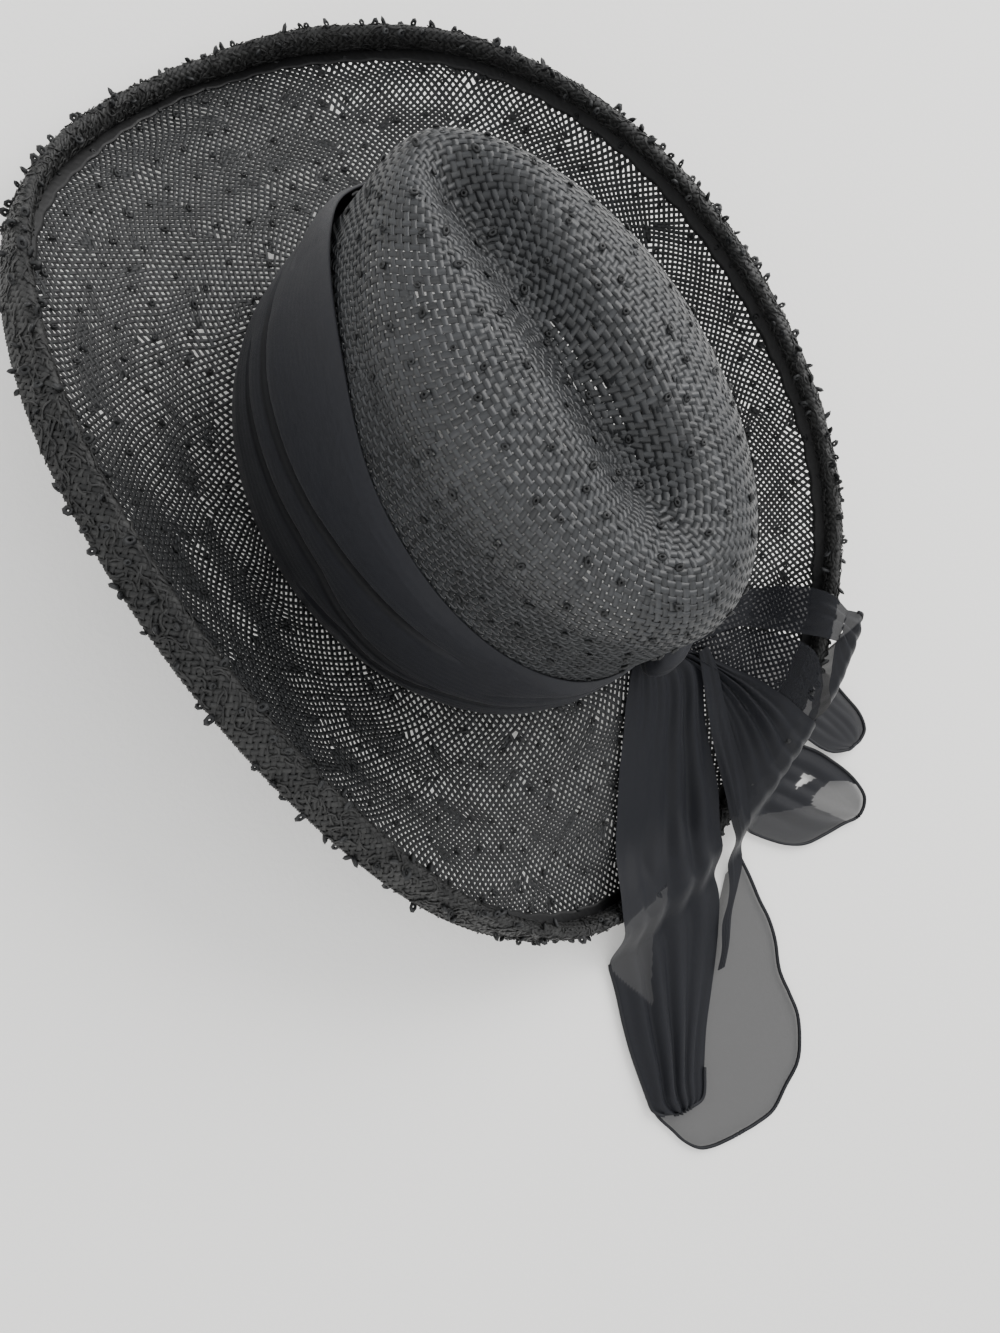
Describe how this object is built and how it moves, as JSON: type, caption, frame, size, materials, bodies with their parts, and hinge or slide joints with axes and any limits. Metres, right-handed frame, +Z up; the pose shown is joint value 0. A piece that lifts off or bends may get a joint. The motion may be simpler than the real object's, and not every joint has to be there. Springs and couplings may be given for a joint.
{
  "type": "sun hat",
  "caption": "Wide brimmed woven straw sun hat with a creased crown, upturned sides, a turned edge and a chiffon scarf tied at the back.",
  "frame": {"origin": "bottom centre of the whole hat's box, scarf ends included, on the surface that it rests on", "axes": "+Z up, the wearer looks along -Y, the wearer's left hand is at +X"},
  "size_m": [0.2834, 0.5092, 0.1498],
  "materials": {
    "black_straw": "open woven straw, slightly glossy strands",
    "edge_straw": "rolled straw edge, rough with short ends",
    "black_chiffon": "thin crepe chiffon, see-through where single"
  },
  "bodies": {
    "root": {"crown": "black_straw", "brim": "black_straw", "turned_edge": "edge_straw", "scarf_band": "black_chiffon", "scarf_knot": "black_chiffon", "scarf_long_end": "black_chiffon", "scarf_short_end": "black_chiffon"}
  },
  "joints": []
}
